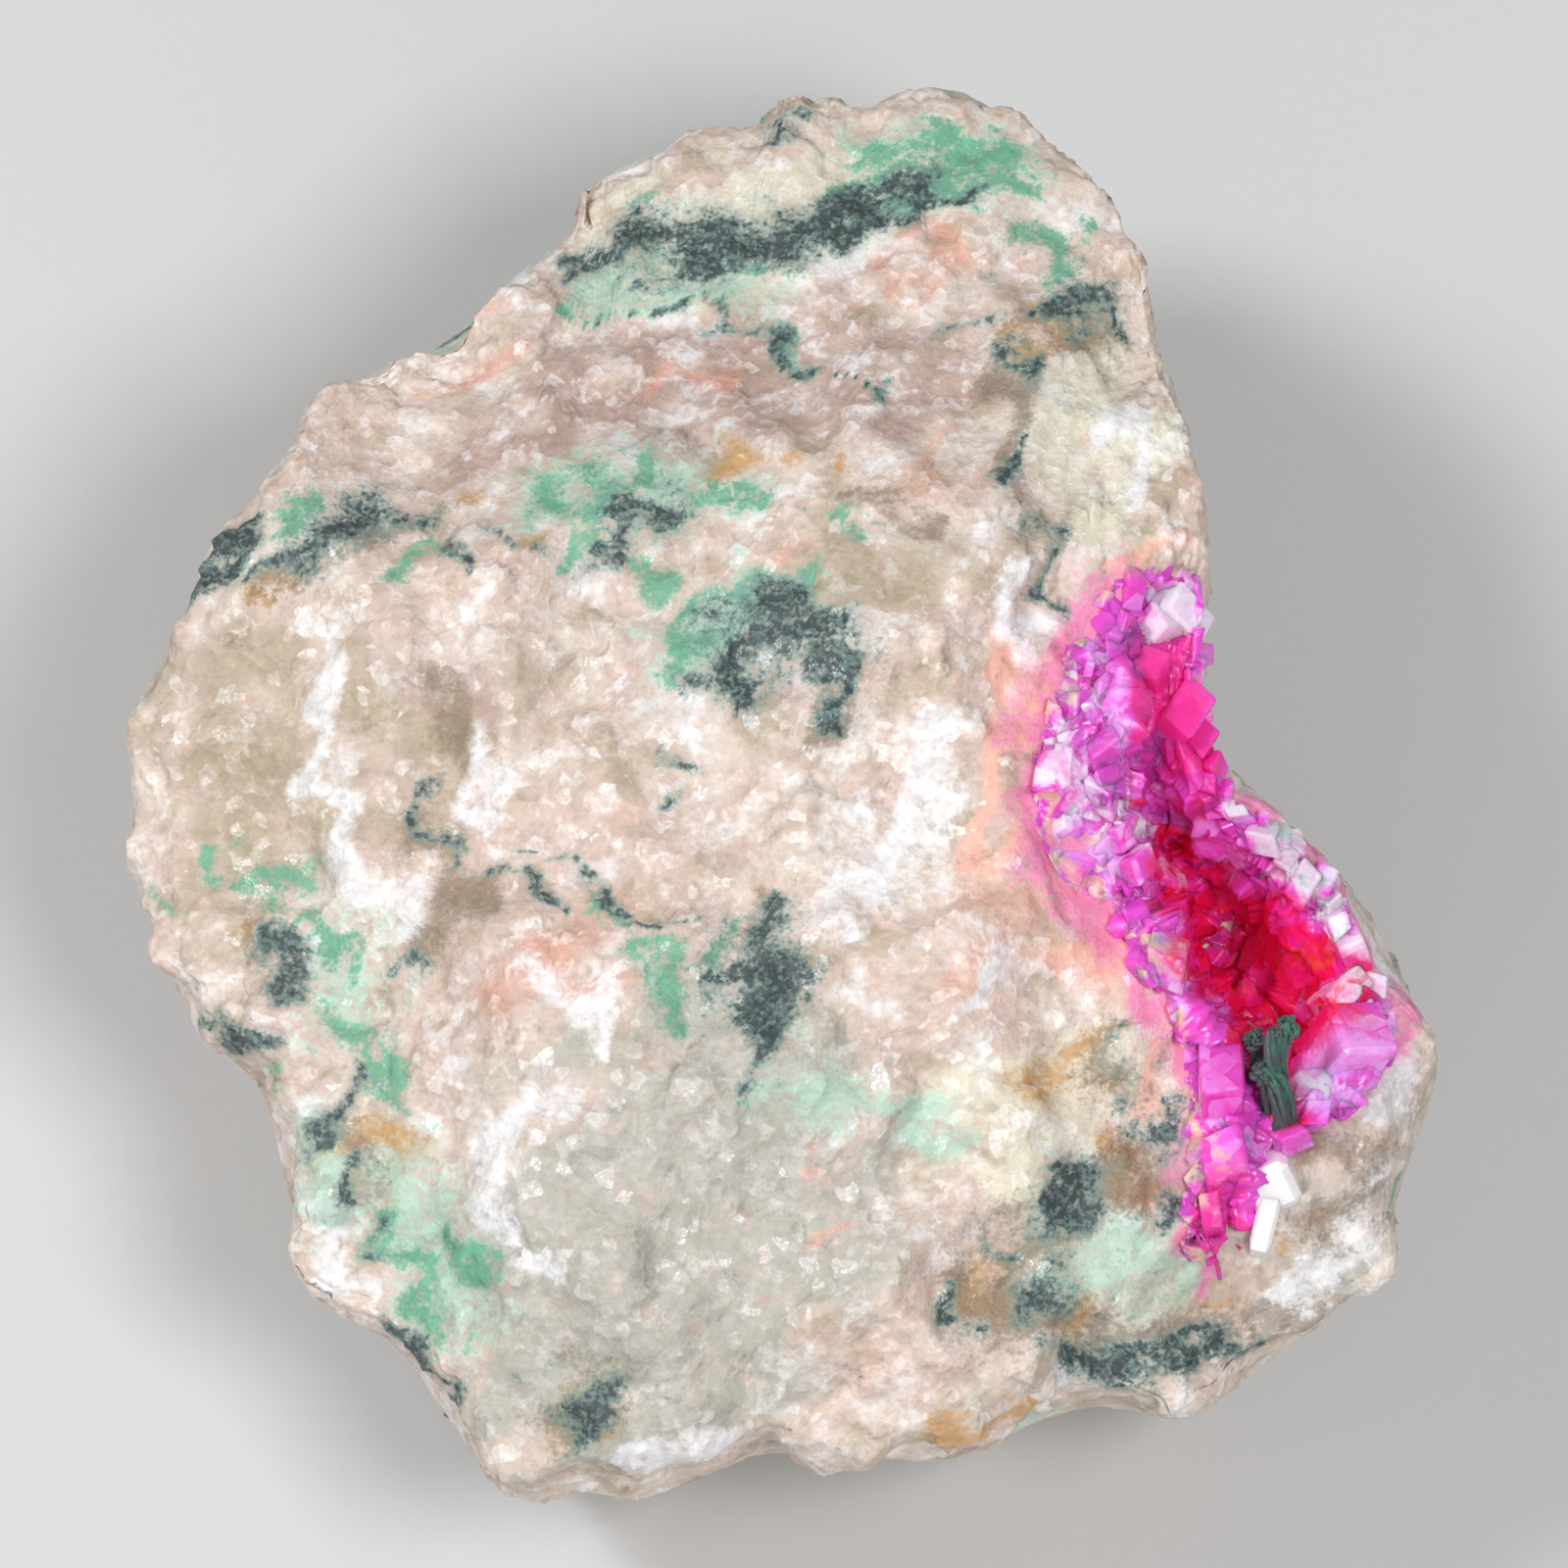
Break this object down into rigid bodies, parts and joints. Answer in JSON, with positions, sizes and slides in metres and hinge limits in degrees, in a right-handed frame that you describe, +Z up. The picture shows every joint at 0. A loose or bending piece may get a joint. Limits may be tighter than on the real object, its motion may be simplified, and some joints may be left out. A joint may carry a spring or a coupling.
{
  "type": "cobaltoan dolomite specimen",
  "caption": "Broken lump of pale rock with a pocket of pink crystals, a dark green crystal tuft and small white crystals, resting on a flat underside.",
  "frame": {"origin": "middle of the specimen's box in plan, on the flat underside", "axes": "+Z up from the flat underside, +X to the right along the face, +Y away from the viewer, toward the face's upper end"},
  "size_m": [0.0416, 0.0504, 0.0251],
  "materials": {
    "dolomite_rock": "broken, sugary grain, stained green and brown",
    "pink_crystal": "glossy crystal faces",
    "malachite": "silky fibres",
    "white_crystal": "glossy crystal faces"
  },
  "bodies": {
    "root": {"host_rock": "dolomite_rock", "pink_crystal_crust": "pink_crystal", "malachite_tuft": "malachite", "white_crystals": "white_crystal"}
  },
  "joints": []
}
